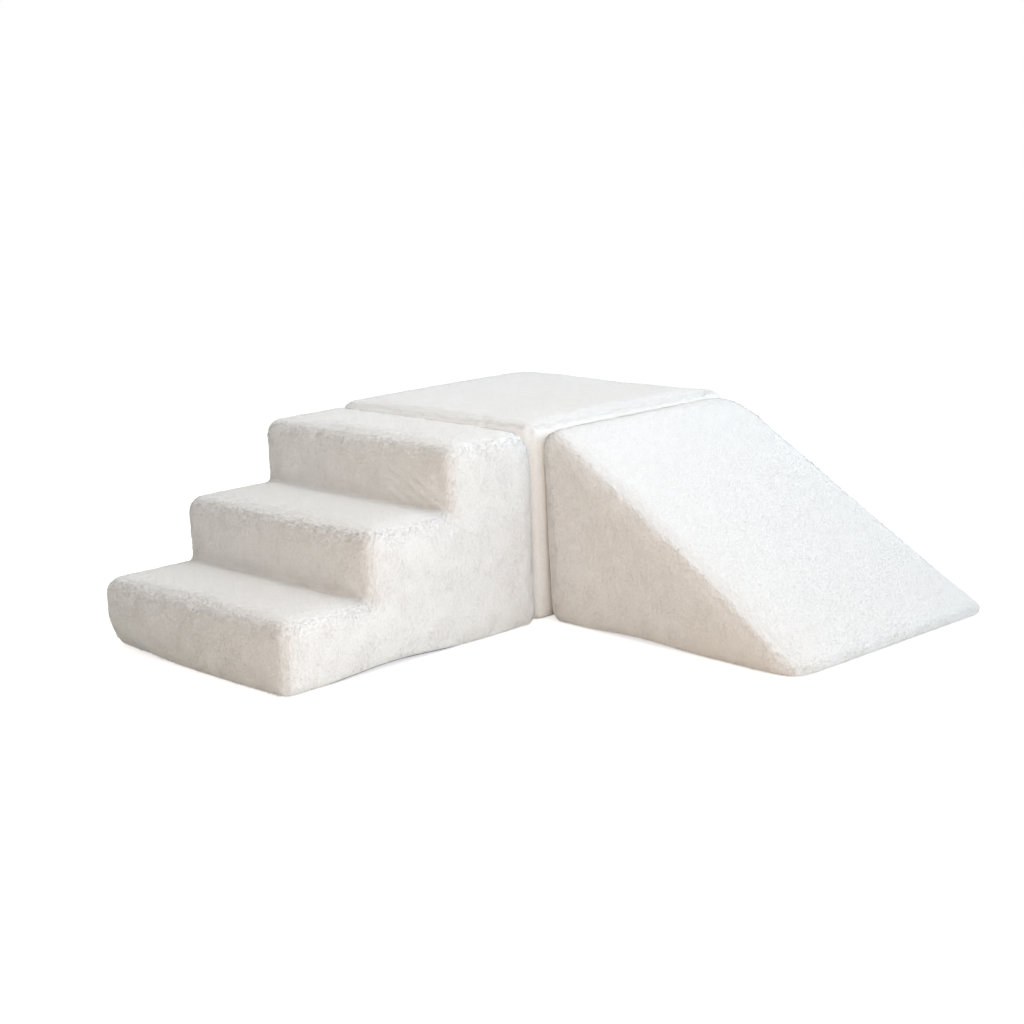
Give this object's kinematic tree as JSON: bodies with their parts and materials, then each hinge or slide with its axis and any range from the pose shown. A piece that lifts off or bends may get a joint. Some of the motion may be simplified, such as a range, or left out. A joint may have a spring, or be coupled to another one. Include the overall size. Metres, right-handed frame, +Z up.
{
  "type": "foam climbing set",
  "caption": "Soft foam climbing set in plush covers: low stairs up to a square platform and a slide down from it, set round a corner.",
  "frame": {"origin": "middle of the underside of the platform block, at floor level", "axes": "+Z up; the stairs go down from the platform towards -Y and the slide goes down towards +X"},
  "size_m": [0.9489, 0.9704, 0.311],
  "materials": {
    "foam": "matt open-cell foam block inside the cover",
    "plush": "off-white short-pile plush, matt, with a soft uneven nap",
    "non_slip_base": "dark blue-grey non-slip cloth, matt",
    "zip_tape": "woven cream zip tape",
    "zip_coil": "cream nylon coil",
    "zip_metal": "plain metal slider, pull and stops"
  },
  "bodies": {
    "platform": {"platform_core": "foam", "platform_top_panel": "plush", "platform_front_panel": "plush", "platform_rear_panel": "plush", "platform_base_panel": "non_slip_base", "platform_zip_tape_upper": "zip_tape", "platform_zip_tape_lower": "zip_tape", "platform_zip_coil_upper": "zip_coil", "platform_zip_coil_lower": "zip_coil", "platform_zip_stop_closed": "zip_metal", "platform_zip_stop_open": "zip_metal"},
    "platform_zip_slider": {"platform_zip_slider": "zip_metal"},
    "platform_zip_pull": {"platform_zip_pull": "zip_metal"},
    "stairs": {"stairs_core": "foam", "stairs_step_panel": "plush", "stairs_right_panel": "plush", "stairs_left_panel": "plush", "stairs_base_panel": "non_slip_base", "stairs_zip_tape_upper": "zip_tape", "stairs_zip_tape_lower": "zip_tape", "stairs_zip_coil_upper": "zip_coil", "stairs_zip_coil_lower": "zip_coil", "stairs_zip_stop_closed": "zip_metal", "stairs_zip_stop_open": "zip_metal"},
    "stairs_zip_slider": {"stairs_zip_slider": "zip_metal"},
    "stairs_zip_pull": {"stairs_zip_pull": "zip_metal"},
    "ramp": {"ramp_core": "foam", "ramp_slope_panel": "plush", "ramp_back_panel": "plush", "ramp_near_panel": "plush", "ramp_far_panel": "plush", "ramp_base_panel": "non_slip_base", "ramp_zip_tape_upper": "zip_tape", "ramp_zip_tape_lower": "zip_tape", "ramp_zip_coil_upper": "zip_coil", "ramp_zip_coil_lower": "zip_coil", "ramp_zip_stop_closed": "zip_metal", "ramp_zip_stop_open": "zip_metal"},
    "ramp_zip_slider": {"ramp_zip_slider": "zip_metal"},
    "ramp_zip_pull": {"ramp_zip_pull": "zip_metal"}
  },
  "joints": [
    {"name": "stairs_pull_away", "type": "slide", "parent": "platform", "child": "stairs", "axis": [0, -1, 0], "range_m": [0, 0.3]},
    {"name": "ramp_pull_away", "type": "slide", "parent": "platform", "child": "ramp", "axis": [1, 0, 0], "range_m": [0, 0.3]},
    {"name": "platform_zip_run", "type": "slide", "parent": "platform", "child": "platform_zip_slider", "axis": [1, 0, 0], "range_m": [0, 0.3674]},
    {"name": "platform_pull_lift", "type": "hinge", "parent": "platform_zip_slider", "child": "platform_zip_pull", "pos_m": [-0.1837, 0.22575, 0.03], "axis": [0, 0, 1], "range_deg": [0, 165]},
    {"name": "stairs_zip_run", "type": "slide", "parent": "stairs", "child": "stairs_zip_slider", "axis": [0, 1, 0], "range_m": [0, 0.4174]},
    {"name": "stairs_pull_lift", "type": "hinge", "parent": "stairs_zip_slider", "child": "stairs_zip_pull", "pos_m": [-0.21575, -0.6867, 0.03], "axis": [0, 0, 1], "range_deg": [0, 165]},
    {"name": "ramp_zip_run", "type": "slide", "parent": "ramp", "child": "ramp_zip_slider", "axis": [1, 0, 0], "range_m": [0, 0.3114]},
    {"name": "ramp_pull_lift", "type": "hinge", "parent": "ramp_zip_slider", "child": "ramp_zip_pull", "pos_m": [0.2913, 0.24075, 0.03], "axis": [0, 0, 1], "range_deg": [0, 165]}
  ]
}
